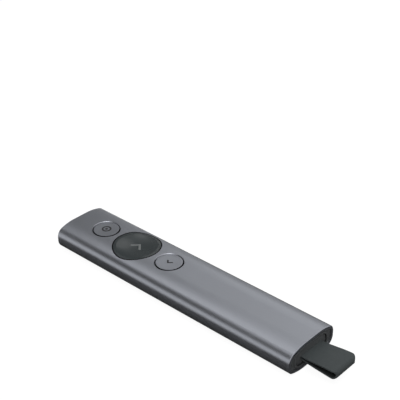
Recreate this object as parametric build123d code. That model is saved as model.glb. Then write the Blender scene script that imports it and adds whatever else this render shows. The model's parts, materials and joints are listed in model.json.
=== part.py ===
from build123d import *
import math
import os

# Wireless presentation remote with a stowed USB receiver.
# +X runs from the head end to the tail end, +Z is up through the buttons.
# The origin is the middle of the body's flat underside. Stations are measured from the head end.

# ---- driving dimensions, millimetres ----

BODY_LENGTH = 131.3
BODY_WIDTH = 28.1
BODY_HEIGHT = 12.1
CROWN_FLAT = 4.0  # half width of the flat strip along the top and the underside
CROWN_RADIUS = 22.0
CORNER_RADIUS = 4.0
SIDE_RADIUS = 45.0
WALL = 1.4
HEAD_EDGE_RADIUS = 0.4
TAIL_EDGE_CHAMFER = 0.2

POINTER_STATION = 17.5
BUTTON_PITCH = 19.4
POINTER_OPENING = 12.4
NEXT_OPENING = 21.7
BACK_OPENING = 12.5
SMALL_CHAMFER = 0.3
NEXT_CHAMFER = 0.1
BUTTON_GAP = 0.38
BUTTON_TRAVEL = 0.5
BUTTON_SKIN = 1.5
BUTTON_DROP = 0.05  # under the body's crown
SMALL_BUTTON_DISH = 0.15
SMALL_BUTTON_RIM = 0.7
NEXT_BUTTON_DISH = 0.7
NEXT_BUTTON_RIM = 1.25
FLANGE_LAP = 0.7
FLANGE_THICKNESS = 0.9
PLUNGER_RADIUS = 1.6
BOWL_STEP = 0.05  # height of the dish's edge under the rim
BOWL_REACH = 1.02  # span of the surface that the dish is cut with, over the dish's radius
BOWL_POINTS = 12

PAD_START = 2.8
PAD_LENGTH = 76.4
PAD_WIDTH = 22.3
PAD_CORNER = 3.7
PAD_THICKNESS = 0.7
PAD_GAP = 0.1
PAD_LEDGE = 1.6
PLATE_INNER_LEVEL = 2.3
BOND_GAP = 0.05

BEZEL_DEPTH = 5.0
BEZEL_STEP = 0.35  # from the sleeve's end and the mouth's rim down to the face between them
MOUTH_RIM = 1.2

HEAD_CAP_DEPTH = 3.0
HEAD_CAP_SETBACK = 0.2
HEAD_CAP_SKIN = 1.2

FRAME_START = 3.6
FRAME_FIT = 0.1
FRAME_CEILING = 8.4
FRAME_RAIL_BOTTOM = 3.0
SEAT_RING_THICKNESS = 0.8
SEAT_LAP = 1.2
LEDGE_THICKNESS = 0.8
LEDGE_WIDTH = 0.8

BOARD_START = 5.0
BOARD_WIDTH = 20.0
BOARD_UNDERSIDE = 4.6
BOARD_THICKNESS = 0.8
BOARD_CORNER = 1.5
BOARD_GAP = 0.2

FRONT_SCREW_STATION = 7.0
REAR_SCREW_STATION = 66.6
SCREW_OFFSET = 7.8
SCREW_RADIUS = 0.7
SCREW_LENGTH = 6.0
SCREW_HEAD_RADIUS = 1.3
SCREW_HEAD_HEIGHT = 0.55
SCREW_HEAD_LEVEL = 1.35
SCREW_CLEARANCE = 0.15
THREAD_GAP = 0.03
BOSS_RADIUS = 1.7

SWITCH_SIDE = 4.6
SWITCH_BASE_HEIGHT = 1.6
SWITCH_COVER = 0.2
SWITCH_WELL_RADIUS = 1.8
SWITCH_FLOOR = 0.3
STEM_RADIUS = 1.15
STEM_COLLAR_RADIUS = 1.6
STEM_COLLAR_HEIGHT = 0.4
STEM_PROUD = 0.75
STEM_GAP = 0.06
DOME_RADIUS = 1.55
DOME_CROWN_RADIUS = 0.6
DOME_SHEET = 0.1

MOTOR_STATION = 68.9
MOTOR_RADIUS = 4.0
MOTOR_HEIGHT = 2.7
MOTOR_WALL = 0.25
MOTOR_SHAFT_RADIUS = 0.4
MOTOR_HUB_RADIUS = 1.2
MOTOR_RUNNING_GAP = 0.05
ROTOR_THICKNESS = 1.4

BATTERY_WIDTH = 16.4
BATTERY_THICKNESS = 3.8
BATTERY_CORNER = 1.2
BATTERY_ADHESIVE = 0.3
BATTERY_ADHESIVE_MARGIN = 1.5
BATTERY_ROOM = 0.9
TAB_WIDTH = 2.0
TAB_SHEET = 0.15
TAB_SPACING = 6.0
TAB_REACH = 1.0

PROCESSOR_SIDE = 5.0
PROCESSOR_OFFSET = 6.0
SENSOR_LENGTH = 3.0
SENSOR_WIDTH = 2.5
CHIP_THICKNESS = 0.85
SHIELD_LENGTH = 13.0
SHIELD_WIDTH = 11.0
SHIELD_HEIGHT = 1.5
SHIELD_SHEET = 0.2
ANTENNA_LENGTH = 1.6
ANTENNA_WIDTH = 7.0
ANTENNA_THICKNESS = 1.2
ANTENNA_SETBACK = 5.0

USB_C_WIDTH = 8.94
USB_C_HEIGHT = 3.16
USB_C_LENGTH = 7.35
USB_C_SHEET = 0.3
USB_C_TONGUE_WIDTH = 6.7
USB_C_TONGUE_THICKNESS = 0.7
USB_C_TONGUE_LENGTH = 4.4
USB_C_TONGUE_SETBACK = 1.0
USB_C_FIT = 0.02
OVAL_EASE = 0.02  # keeps the short flats of an oval bar's ends

RECEIVER_WIDTH = 18.8
RECEIVER_HEIGHT = 6.2
RECEIVER_CORNER = 2.9
RECEIVER_GRIP = 12.3
RECEIVER_WALL = 1.0
RECEIVER_SETBACK = 0.3
RECEIVER_EDGE = 0.2
NOSE_THICKNESS = 1.2
PLUG_WIDTH = 12.0
PLUG_HEIGHT = 4.5
PLUG_LENGTH = 12.0
PLUG_SHEET = 0.3
PLUG_WINDOW = 2.2
PLUG_WINDOW_SPACING = 5.4
PLUG_WINDOW_SETBACK = 3.6
PLUG_TONGUE_THICKNESS = 1.9
CONTACTS = 4
CONTACT_SETBACK = 1.5
CONTACT_LENGTH = 7.0
CONTACT_WIDTH = 1.0
CONTACT_PITCH = 2.2
CONTACT_SHEET = 0.15
RECEIVER_BOARD_SINK = 0.1
RECEIVER_CHIP_SIDE = 4.0

BAY_GAP = 0.2
BAY_STEP_GAP = 0.4
DOCK_WALL = 0.9
DOCK_FIT = 0.1
SPRING_SHEET = 0.2
SPRING_HEIGHT = 2.4
SPRING_LENGTH = 6.4
SPRING_BOW = 0.7
SPRING_GAP = 0.05
SPRING_END_ROOM = 0.3
SPRING_SIDE_ROOM = 0.2

STRAP_REACH = 16.5
STRAP_ROOT_WIDTH = 12.8
STRAP_END_WIDTH = 14.0
STRAP_CORNER = 3.0
STRAP_BAND = 0.8
STRAP_TOP_RISE = 1.75  # of the fold, above mid height
STRAP_BOTTOM_DROP = 1.8
STRAP_ROOT_HEIGHT = 1.4
STRAP_JOINED = 2.2  # length over which the two limbs are one
STRAP_PARTING = 0.2  # height of the hollow where they part
STRAP_ANCHOR = 2.0

# ---- stations and levels worked out from them ----

MID_LEVEL = BODY_HEIGHT / 2
NEXT_STATION = POINTER_STATION + BUTTON_PITCH
BACK_STATION = NEXT_STATION + BUTTON_PITCH
PAD_MIDDLE = PAD_START + PAD_LENGTH / 2
BOARD_TOP = BOARD_UNDERSIDE + BOARD_THICKNESS
COVER_TOP = BOARD_TOP + SWITCH_BASE_HEIGHT + SWITCH_COVER
STEM_TOP = COVER_TOP + STEM_PROUD
RECEIVER_END = BODY_LENGTH - RECEIVER_SETBACK
RECEIVER_START = RECEIVER_END - RECEIVER_GRIP
PLUG_TIP = RECEIVER_START - PLUG_LENGTH
BAY_FLOOR = PLUG_TIP - BAY_STEP_GAP
DOCK_START = BAY_FLOOR - DOCK_WALL
DOCK_END = BODY_LENGTH - BEZEL_DEPTH
FRAME_END = DOCK_START - BAY_GAP
BOARD_END = FRAME_END
USB_C_START = BAY_FLOOR - USB_C_LENGTH
BATTERY_START = MOTOR_STATION + MOTOR_RADIUS + BATTERY_ROOM
BATTERY_END = USB_C_START - TAB_REACH - BATTERY_ROOM
BATTERY_LENGTH = BATTERY_END - BATTERY_START
BATTERY_MIDDLE = (BATTERY_START + BATTERY_END) / 2
BATTERY_BOTTOM = BOARD_TOP + BATTERY_ADHESIVE
RECEIVER_BOARD_START = RECEIVER_START + 2 * NOSE_THICKNESS + BOND_GAP
RECEIVER_BOARD_END = RECEIVER_END - STRAP_ANCHOR - RECEIVER_WALL - BOND_GAP
RECEIVER_BOARD_TOP = MID_LEVEL - RECEIVER_BOARD_SINK
STRAP_ROOT = RECEIVER_END - BODY_LENGTH / 2
STRAP_TIP = STRAP_ROOT + STRAP_REACH

# station, radius of the opening and chamfer on its edge, depth of the dish and width of the rim round it
BUTTONS = {
    "pointer": (POINTER_STATION, POINTER_OPENING / 2, SMALL_CHAMFER, SMALL_BUTTON_DISH, SMALL_BUTTON_RIM),
    "next": (NEXT_STATION, NEXT_OPENING / 2, NEXT_CHAMFER, NEXT_BUTTON_DISH, NEXT_BUTTON_RIM),
    "back": (BACK_STATION, BACK_OPENING / 2, SMALL_CHAMFER, SMALL_BUTTON_DISH, SMALL_BUTTON_RIM),
}


# ---- the body's section and the solids made from it ----


def section_arcs(inset):
    """Radii and centres of the crown, corner and side arcs of one quarter, seen from the section's middle."""
    crown, corner, side = CROWN_RADIUS - inset, CORNER_RADIUS - inset, SIDE_RADIUS - inset
    crown_centre = Vector(CROWN_FLAT, MID_LEVEL - inset - crown)
    side_centre = Vector(BODY_WIDTH / 2 - inset - side, 0)
    apart = side_centre - crown_centre
    to_crown, to_side = crown - corner, side - corner
    foot = (to_crown**2 - to_side**2 + apart.length**2) / (2 * apart.length)
    across = apart.normalized().rotate(Axis.Z, -90) * math.sqrt(to_crown**2 - foot**2)
    corner_centre = crown_centre + apart.normalized() * foot + across
    return (crown, crown_centre), (corner, corner_centre), (side, side_centre)


def section_face(inset):
    """Crowned oval section, parallel to the body's outline and `inset` inside it."""
    (crown, crown_at), (corner, corner_at), (side, side_at) = section_arcs(inset)
    lean = corner_at - crown_at
    crown_end = math.degrees(math.atan2(lean.Y, lean.X))
    lean = corner_at - side_at
    side_end = math.degrees(math.atan2(lean.Y, lean.X))
    top = MID_LEVEL - inset
    quarter = [
        Line((0, top), (CROWN_FLAT, top)),
        CenterArc(crown_at, crown, crown_end, 90 - crown_end),
        CenterArc(corner_at, corner, side_end, crown_end - side_end),
        CenterArc(side_at, side, 0, side_end),
    ]
    half = quarter + [mirror(edge, Plane.XZ) for edge in quarter]
    return make_face(half + [mirror(edge, Plane.YZ) for edge in half])


def crown_level(inset, y):
    """Height above the rest face of the section's upper outline at `y` off the centre line."""
    (crown, crown_at), (corner, corner_at), _ = section_arcs(inset)
    meet = crown_at + (corner_at - crown_at).normalized() * crown
    radius, centre = (crown, crown_at) if y < meet.X else (corner, corner_at)
    past = max(y - centre.X, 0)
    return MID_LEVEL + centre.Y + math.sqrt(radius**2 - past**2)


def across_body(station):
    """Plane across the body: its x is the body's +Y, its y is up, from mid height."""
    return Plane(origin=(station - BODY_LENGTH / 2, 0, MID_LEVEL), x_dir=(0, 1, 0), z_dir=(1, 0, 0))


def prism(inset, start, end):
    return extrude(across_body(start) * section_face(inset), amount=end - start)


def bar(width, height, corner, start, end):
    """Rounded bar along the body, centred at mid height."""
    return extrude(across_body(start) * RectangleRounded(width, height, corner), amount=end - start)


def oval_bar(width, height, start, end):
    return bar(width, height, height / 2 - OVAL_EASE, start, end)


def block(start, end, low_y, high_y, low_z, high_z):
    middle = ((start + end - BODY_LENGTH) / 2, (low_y + high_y) / 2, (low_z + high_z) / 2)
    return Pos(*middle) * Box(end - start, high_y - low_y, high_z - low_z)


def level_block(start, end, low_y, high_y, height):
    """Block centred at mid height."""
    return block(start, end, low_y, high_y, MID_LEVEL - height / 2, MID_LEVEL + height / 2)


def post(station, y, radius, low, high):
    place = Pos(station - BODY_LENGTH / 2, y, low)
    return place * Cylinder(radius, high - low, align=(Align.CENTER, Align.CENTER, Align.MIN))


def tablet(middle, length, width, corner, low, high):
    """Upright solid with a rounded rectangle as its plan."""
    plan = Pos(middle - BODY_LENGTH / 2, 0, low) * RectangleRounded(length, width, corner)
    return extrude(plan, amount=high - low)


def screw_places():
    stations = (FRONT_SCREW_STATION, REAR_SCREW_STATION)
    return [(station, side * SCREW_OFFSET) for station in stations for side in (-1, 1)]


def button_flange(name):
    """Radius and underside of a button's flange, which hangs under the sleeve round the opening's edge."""
    opening = BUTTONS[name][1]
    return opening + FLANGE_LAP, crown_level(WALL + FRAME_FIT, opening) - FLANGE_THICKNESS


def button_stop(name):
    """Radius of a button's flange and the level of the frame's seat, just below its full travel."""
    radius, underside = button_flange(name)
    return radius, underside - BUTTON_TRAVEL - FRAME_FIT


# ---- housing ----


def housing_sleeve():
    shell = prism(0, 0, BODY_LENGTH)
    shell = fillet(shell.faces().sort_by(Axis.X)[0].edges(), HEAD_EDGE_RADIUS)
    shell = chamfer(shell.faces().sort_by(Axis.X)[-1].edges(), TAIL_EDGE_CHAMFER)
    for station, radius, edge_chamfer, *_ in BUTTONS.values():
        shell -= post(station, 0, radius, MID_LEVEL, BODY_HEIGHT)
        shell = chamfer(opening_edge(shell, station, radius), edge_chamfer)
    shell -= prism(WALL, 0, BODY_LENGTH)
    pocket = tablet(PAD_MIDDLE, PAD_LENGTH, PAD_WIDTH, PAD_CORNER, 0, MID_LEVEL)
    shell -= pocket - prism(PAD_THICKNESS, 0, BODY_LENGTH)
    shell -= window(0, MID_LEVEL)
    return shell


def opening_edge(shell, station, radius):
    """Edges where a button's opening meets the crown."""
    middle = station - BODY_LENGTH / 2
    curved = shell.edges().filter_by(GeomType.LINE, reverse=True)
    near = curved.filter_by(lambda edge: abs(edge.center().X - middle) <= radius)
    return near.filter_by(lambda edge: edge.bounding_box().min.Z > MID_LEVEL)


def window(slack, top):
    """Plan of the opening in the sleeve's back, `slack` smaller all round."""
    shrink = 2 * (PAD_LEDGE + slack)
    corner = PAD_CORNER - PAD_LEDGE
    return tablet(PAD_MIDDLE, PAD_LENGTH - shrink, PAD_WIDTH - shrink, corner, 0, top)


def back_pad():
    length, width = PAD_LENGTH - 2 * PAD_GAP, PAD_WIDTH - 2 * PAD_GAP
    pad = tablet(PAD_MIDDLE, length, width, PAD_CORNER - PAD_GAP, 0, MID_LEVEL)
    return pad & (prism(0, 0, BODY_LENGTH) - prism(PAD_THICKNESS - BOND_GAP, 0, BODY_LENGTH))


def back_plate():
    plate = window(PAD_GAP, PLATE_INNER_LEVEL) & prism(PAD_THICKNESS + BOND_GAP, 0, BODY_LENGTH)
    for station, y in screw_places():
        plate += post(station, y, BOSS_RADIUS, PLATE_INNER_LEVEL, BOARD_UNDERSIDE)
        plate -= post(station, y, SCREW_RADIUS + SCREW_CLEARANCE, 0, BOARD_UNDERSIDE)
        head_top = SCREW_HEAD_LEVEL + SCREW_HEAD_HEIGHT
        plate -= post(station, y, SCREW_HEAD_RADIUS + SCREW_CLEARANCE, 0, head_top)
    return plate


def plate_screws():
    screws = []
    for station, y in screw_places():
        head_top = SCREW_HEAD_LEVEL + SCREW_HEAD_HEIGHT
        head = post(station, y, SCREW_HEAD_RADIUS, SCREW_HEAD_LEVEL, head_top)
        shank = post(station, y, SCREW_RADIUS, head_top, SCREW_HEAD_LEVEL + SCREW_LENGTH)
        screws.append(head + shank)
    return Compound(screws)


def head_cap():
    cap = prism(WALL + BOND_GAP, HEAD_CAP_SETBACK, HEAD_CAP_DEPTH)
    return cap - prism(WALL + HEAD_CAP_SKIN, HEAD_CAP_SETBACK + HEAD_CAP_SKIN, HEAD_CAP_DEPTH)


def tail_bezel():
    """Insert bonded in the sleeve's tail, with a raised rim round the receiver's mouth."""
    bezel = prism(WALL + BOND_GAP, DOCK_END, BODY_LENGTH - BEZEL_STEP)
    width, height = RECEIVER_WIDTH + 2 * MOUTH_RIM, RECEIVER_HEIGHT + 2 * MOUTH_RIM
    bezel += bar(width, height, RECEIVER_CORNER + MOUTH_RIM, DOCK_END, BODY_LENGTH)
    return bezel - bay(DOCK_END, BODY_LENGTH)


def bay(start, end):
    """Room for the receiver's grip."""
    width, height = RECEIVER_WIDTH + 2 * BAY_GAP, RECEIVER_HEIGHT + 2 * BAY_GAP
    return bar(width, height, RECEIVER_CORNER + BAY_GAP, start, end)


# ---- inside the body ----


def inner_frame():
    """Inverted channel: a roof under the sleeve's crown, two side rails, button seats and screw bosses."""
    channel = BOARD_WIDTH / 2 + BOARD_GAP
    outer = prism(WALL + FRAME_FIT, FRAME_START, FRAME_END)
    frame = outer - block(0, BODY_LENGTH, -channel, channel, 0, FRAME_CEILING)
    for name, (station, *_) in BUTTONS.items():
        flange_radius, stop = button_stop(name)
        seat_radius = flange_radius + BUTTON_GAP + SEAT_RING_THICKNESS
        frame += outer & post(station, 0, seat_radius, stop - SEAT_RING_THICKNESS, FRAME_CEILING)
    for name, (station, radius, *_) in BUTTONS.items():
        flange_radius, stop = button_stop(name)
        frame -= post(station, 0, flange_radius + BUTTON_GAP, stop, BODY_HEIGHT)
        frame -= post(station, 0, radius - SEAT_LAP, 0, stop)
    room = BATTERY_WIDTH / 2 + BATTERY_ROOM
    frame -= block(BATTERY_START - BATTERY_ROOM, FRAME_END, -room, room, 0, BODY_HEIGHT)
    for station, y in screw_places():
        frame += outer & post(station, y, BOSS_RADIUS, BOARD_TOP, BODY_HEIGHT)
        frame -= post(station, y, SCREW_RADIUS + THREAD_GAP, 0, SCREW_HEAD_LEVEL + SCREW_LENGTH + THREAD_GAP)
    frame -= block(0, BODY_LENGTH, -BODY_WIDTH, BODY_WIDTH, 0, FRAME_RAIL_BOTTOM)
    for side in (-1, 1):
        low_y, high_y = sorted((side * (BOARD_WIDTH / 2 - LEDGE_WIDTH), side * (channel + LEDGE_WIDTH / 2)))
        ledge_start, ledge_bottom = PAD_START + PAD_LENGTH, BOARD_UNDERSIDE - LEDGE_THICKNESS
        frame += block(ledge_start, FRAME_END, low_y, high_y, ledge_bottom, BOARD_UNDERSIDE)
    return frame


def main_board():
    length = BOARD_END - BOARD_START
    board = tablet(BOARD_START + length / 2, length, BOARD_WIDTH, BOARD_CORNER, BOARD_UNDERSIDE, BOARD_TOP)
    for station, y in screw_places():
        board -= post(station, y, SCREW_RADIUS + SCREW_CLEARANCE, BOARD_UNDERSIDE, BOARD_TOP)
    notch = USB_C_WIDTH / 2 + BOARD_GAP
    return board - block(USB_C_START - BOARD_GAP, BODY_LENGTH, -notch, notch, BOARD_UNDERSIDE, BOARD_TOP)


def chip(middle, y, length, width, low, high):
    return block(middle - length / 2, middle + length / 2, y - width / 2, y + width / 2, low, high)


def top_chip(middle, y, length, width):
    """Chip package standing on the main board."""
    return chip(middle, y, length, width, BOARD_TOP, BOARD_TOP + CHIP_THICKNESS)


def processor_chip():
    middle = (POINTER_STATION + NEXT_STATION) / 2
    return top_chip(middle, PROCESSOR_OFFSET, PROCESSOR_SIDE, PROCESSOR_SIDE)


def motion_sensor():
    middle = (NEXT_STATION + BACK_STATION) / 2
    return top_chip(middle, PROCESSOR_OFFSET, SENSOR_LENGTH, SENSOR_WIDTH)


def radio_shield():
    """Folded can over the radio, on the underside of the board, open towards the board."""
    floor = BOARD_UNDERSIDE - SHIELD_HEIGHT
    can = chip(NEXT_STATION, 0, SHIELD_LENGTH, SHIELD_WIDTH, floor, BOARD_UNDERSIDE)
    inner_length, inner_width = SHIELD_LENGTH - 2 * SHIELD_SHEET, SHIELD_WIDTH - 2 * SHIELD_SHEET
    return can - chip(NEXT_STATION, 0, inner_length, inner_width, floor + SHIELD_SHEET, BOARD_UNDERSIDE)


def chip_antenna():
    low = BOARD_UNDERSIDE - ANTENNA_THICKNESS
    return chip(BOARD_START + ANTENNA_SETBACK, 0, ANTENNA_LENGTH, ANTENNA_WIDTH, low, BOARD_UNDERSIDE)


def battery_cell():
    top = BATTERY_BOTTOM + BATTERY_THICKNESS
    cell = tablet(BATTERY_MIDDLE, BATTERY_LENGTH, BATTERY_WIDTH, BATTERY_CORNER, BATTERY_BOTTOM, top)
    return chamfer(cell.faces().sort_by(Axis.Z)[-1].edges(), BATTERY_CORNER / 2)


def battery_adhesive():
    length = BATTERY_LENGTH - 2 * BATTERY_ADHESIVE_MARGIN
    width = BATTERY_WIDTH - 2 * BATTERY_ADHESIVE_MARGIN
    return chip(BATTERY_MIDDLE, 0, length, width, BOARD_TOP, BATTERY_BOTTOM)


def battery_tabs():
    """Two nickel strips bent down from the cell's tail end onto the board."""
    level = BATTERY_BOTTOM + BATTERY_THICKNESS / 2
    tabs = []
    for side in (-1, 1):
        low, high = side * TAB_SPACING - TAB_WIDTH / 2, side * TAB_SPACING + TAB_WIDTH / 2
        strip = block(BATTERY_END, BATTERY_END + TAB_SHEET, low, high, BOARD_TOP, level)
        foot = block(BATTERY_END, BATTERY_END + TAB_REACH, low, high, BOARD_TOP, BOARD_TOP + TAB_SHEET)
        tabs.append(strip + foot)
    return Compound(tabs)


def motor_case():
    """Cup of the coin motor, standing on the board."""
    cup = post(MOTOR_STATION, 0, MOTOR_RADIUS, BOARD_TOP, BOARD_TOP + MOTOR_HEIGHT - MOTOR_WALL)
    return cup - post(MOTOR_STATION, 0, MOTOR_RADIUS - MOTOR_WALL, BOARD_TOP + MOTOR_WALL, BODY_HEIGHT)


def motor_cover():
    top = BOARD_TOP + MOTOR_HEIGHT
    return post(MOTOR_STATION, 0, MOTOR_RADIUS, top - MOTOR_WALL, top)


def motor_shaft():
    low, high = BOARD_TOP + MOTOR_WALL, BOARD_TOP + MOTOR_HEIGHT - MOTOR_WALL
    return post(MOTOR_STATION, 0, MOTOR_SHAFT_RADIUS, low, high)


def motor_rotor():
    """Half disc of dense metal on a hub, so that it turns off balance."""
    low = BOARD_TOP + (MOTOR_HEIGHT - ROTOR_THICKNESS) / 2
    high = low + ROTOR_THICKNESS
    weight = post(MOTOR_STATION, 0, MOTOR_RADIUS - 2 * MOTOR_WALL, low, high)
    weight -= block(0, MOTOR_STATION, -MOTOR_RADIUS, MOTOR_RADIUS, low, high)
    rotor = weight + post(MOTOR_STATION, 0, MOTOR_HUB_RADIUS, low, high)
    return rotor - post(MOTOR_STATION, 0, MOTOR_SHAFT_RADIUS + MOTOR_RUNNING_GAP, low, high)


# ---- buttons and their switches ----


def bowl(station, radius, depth):
    """Cutter for a dish sunk in the crown: deepest in the middle, almost level with the crown at its edge."""

    def level(x, y):
        share = (x * x + y * y) / radius**2
        return crown_level(BUTTON_DROP, abs(y)) - BOWL_STEP - (depth - BOWL_STEP) * (1 - share)

    steps = [BOWL_REACH * radius * (2 * i / BOWL_POINTS - 1) for i in range(BOWL_POINTS + 1)]
    place = Pos(station - BODY_LENGTH / 2, 0, 0)
    points = [[Vector(x, y, level(x, y)) for y in steps] for x in steps]
    floor = place * Face.make_surface_from_array_of_points(points)
    return extrude(floor, amount=BODY_HEIGHT, dir=(0, 0, 1)) & post(station, 0, radius, 0, 2 * BODY_HEIGHT)


def button(name):
    """Cap that follows the body's crown, with a flange under the sleeve and a plunger over the switch."""
    station, opening, _, dish, rim = BUTTONS[name]
    radius = opening - BUTTON_GAP
    flange_radius, underside = button_flange(name)
    roof = BODY_HEIGHT - BUTTON_DROP - dish - BUTTON_SKIN
    cap = post(station, 0, radius, underside, BODY_HEIGHT) & prism(BUTTON_DROP, 0, BODY_LENGTH)
    cap -= bowl(station, radius - rim, dish)
    cap += post(station, 0, flange_radius, underside, roof) & prism(WALL + FRAME_FIT, 0, BODY_LENGTH)
    cap -= post(station, 0, radius - SEAT_LAP, underside, roof)
    return cap + post(station, 0, PLUNGER_RADIUS, STEM_TOP, roof)


def switch_base(station):
    half = SWITCH_SIDE / 2
    top = BOARD_TOP + SWITCH_BASE_HEIGHT
    base = block(station - half, station + half, -half, half, BOARD_TOP, top)
    return base - post(station, 0, SWITCH_WELL_RADIUS, BOARD_TOP + SWITCH_FLOOR, top)


def switch_cover(station):
    half = SWITCH_SIDE / 2
    cover = block(station - half, station + half, -half, half, COVER_TOP - SWITCH_COVER, COVER_TOP)
    return cover - post(station, 0, STEM_RADIUS + STEM_GAP, COVER_TOP - SWITCH_COVER, COVER_TOP)


def switch_stem(station):
    """Stepped pin: the collar is held under the cover, the pin stands proud of it."""
    collar_top = COVER_TOP - SWITCH_COVER - STEM_GAP
    collar = post(station, 0, STEM_COLLAR_RADIUS, collar_top - STEM_COLLAR_HEIGHT, collar_top)
    return collar + post(station, 0, STEM_RADIUS, collar_top, STEM_TOP)


def switch_dome(station):
    """Snap dome under the stem: a shallow cone of spring sheet, flattened on top."""
    floor = BOARD_TOP + SWITCH_FLOOR
    rise = COVER_TOP - SWITCH_COVER - STEM_GAP - STEM_COLLAR_HEIGHT - floor - STEM_GAP
    place = Pos(station - BODY_LENGTH / 2, 0, floor)
    sitting = (Align.CENTER, Align.CENTER, Align.MIN)
    dome = Cone(DOME_RADIUS, DOME_CROWN_RADIUS, rise, align=sitting)
    dome -= Cone(DOME_RADIUS - DOME_SHEET, DOME_CROWN_RADIUS - DOME_SHEET, rise - DOME_SHEET, align=sitting)
    return place * dome


# ---- charging port and receiver bay ----


def usb_c_shell():
    end = USB_C_START + USB_C_LENGTH
    shell = oval_bar(USB_C_WIDTH, USB_C_HEIGHT, USB_C_START, end)
    return shell - oval_bar(USB_C_WIDTH - 2 * USB_C_SHEET, USB_C_HEIGHT - 2 * USB_C_SHEET, USB_C_START, end)


def usb_c_tongue():
    """Insulator that plugs the shell's inner end and carries the contact tongue."""
    shrink = 2 * (USB_C_SHEET + USB_C_FIT)
    root = USB_C_START + USB_C_LENGTH - USB_C_TONGUE_LENGTH - USB_C_TONGUE_SETBACK
    body = oval_bar(USB_C_WIDTH - shrink, USB_C_HEIGHT - shrink, USB_C_START, root)
    half = USB_C_TONGUE_WIDTH / 2
    return body + level_block(root, root + USB_C_TONGUE_LENGTH, -half, half, USB_C_TONGUE_THICKNESS)


def receiver_dock():
    """Liner of the bay: a wide stage for the grip, a narrow stage for the plug, a port in its floor."""
    dock = prism(WALL + DOCK_FIT, DOCK_START, DOCK_END)
    dock -= bay(RECEIVER_START - BAY_STEP_GAP, DOCK_END)
    plug_room = PLUG_WIDTH + 2 * BAY_STEP_GAP
    dock -= bar(plug_room, RECEIVER_HEIGHT + 2 * BAY_GAP, BAY_STEP_GAP, BAY_FLOOR, DOCK_END)
    dock -= oval_bar(USB_C_WIDTH + 2 * BAY_GAP, USB_C_HEIGHT + 2 * BAY_GAP, DOCK_START, BAY_FLOOR)
    for side in (-1, 1):
        near = side * (RECEIVER_WIDTH / 2)
        far = side * (RECEIVER_WIDTH / 2 + BAY_GAP + SPRING_BOW + SPRING_SHEET)
        low_y, high_y = sorted((near, far))
        half, height = SPRING_LENGTH / 2 + SPRING_END_ROOM, SPRING_HEIGHT + 2 * SPRING_SIDE_ROOM
        dock -= level_block(spring_middle() - half, spring_middle() + half, low_y, high_y, height)
        core = side * (plug_room / 2 + DOCK_WALL)
        low_y, high_y = sorted((core, side * BODY_WIDTH))
        core_end = RECEIVER_START - BAY_STEP_GAP - DOCK_WALL
        dock -= block(DOCK_START + DOCK_WALL, core_end, low_y, high_y, MID_LEVEL + DOCK_WALL / 2, BODY_HEIGHT)
        dock -= block(DOCK_START + DOCK_WALL, core_end, low_y, high_y, 0, MID_LEVEL - DOCK_WALL / 2)
    return dock


def spring_middle():
    return (RECEIVER_START + DOCK_END) / 2 - BAY_STEP_GAP / 2


def dock_springs():
    """Two bowed leaves in the side walls of the bay, whose crests bear on the grip."""
    x, half = spring_middle() - BODY_LENGTH / 2, SPRING_LENGTH / 2
    crest = RECEIVER_WIDTH / 2 + SPRING_GAP
    foot = crest + SPRING_BOW
    inner = ThreePointArc((x - half, foot), (x, crest), (x + half, foot))
    outer = Pos(0, SPRING_SHEET, 0) * inner
    leaf = make_face([inner, outer, Line(inner @ 0, outer @ 0), Line(inner @ 1, outer @ 1)])
    spring = extrude(Pos(0, 0, MID_LEVEL - SPRING_HEIGHT / 2) * leaf, amount=SPRING_HEIGHT, dir=(0, 0, 1))
    return Compound([spring, mirror(spring, Plane.XZ)])


# ---- the receiver, stowed in its bay ----


def receiver_body():
    """Hollow grip, closed at the tail end but for the slot that holds the strap's root."""
    start = RECEIVER_START + NOSE_THICKNESS
    grip = bar(RECEIVER_WIDTH, RECEIVER_HEIGHT, RECEIVER_CORNER, start, RECEIVER_END)
    grip = chamfer(grip.faces().sort_by(Axis.X)[-1].edges(), RECEIVER_EDGE)
    inner_width, inner_height = RECEIVER_WIDTH - 2 * RECEIVER_WALL, RECEIVER_HEIGHT - 2 * RECEIVER_WALL
    inner_corner = RECEIVER_CORNER - RECEIVER_WALL
    room_end = RECEIVER_END - STRAP_ANCHOR - RECEIVER_WALL
    grip -= bar(inner_width, inner_height, inner_corner, start, room_end)
    half, height = STRAP_ROOT_WIDTH / 2 + BOND_GAP, STRAP_ROOT_HEIGHT + 2 * BOND_GAP
    return grip - level_block(RECEIVER_END - STRAP_ANCHOR, BODY_LENGTH, -half, half, height)


def receiver_nose():
    """Front wall of the grip, round the plug's root, with two cheeks inside the grip."""
    end = RECEIVER_START + NOSE_THICKNESS
    nose = bar(RECEIVER_WIDTH, RECEIVER_HEIGHT, RECEIVER_CORNER, RECEIVER_START, end)
    shrink = 2 * (RECEIVER_WALL + BOND_GAP)
    corner = RECEIVER_CORNER - RECEIVER_WALL - BOND_GAP
    nose += bar(RECEIVER_WIDTH - shrink, RECEIVER_HEIGHT - shrink, corner, end, end + NOSE_THICKNESS)
    room_width, room_height = PLUG_WIDTH + 2 * BOND_GAP, PLUG_HEIGHT + 2 * BOND_GAP
    return nose - bar(room_width, room_height, 2 * PLUG_SHEET, RECEIVER_START, end + NOSE_THICKNESS)


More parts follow.
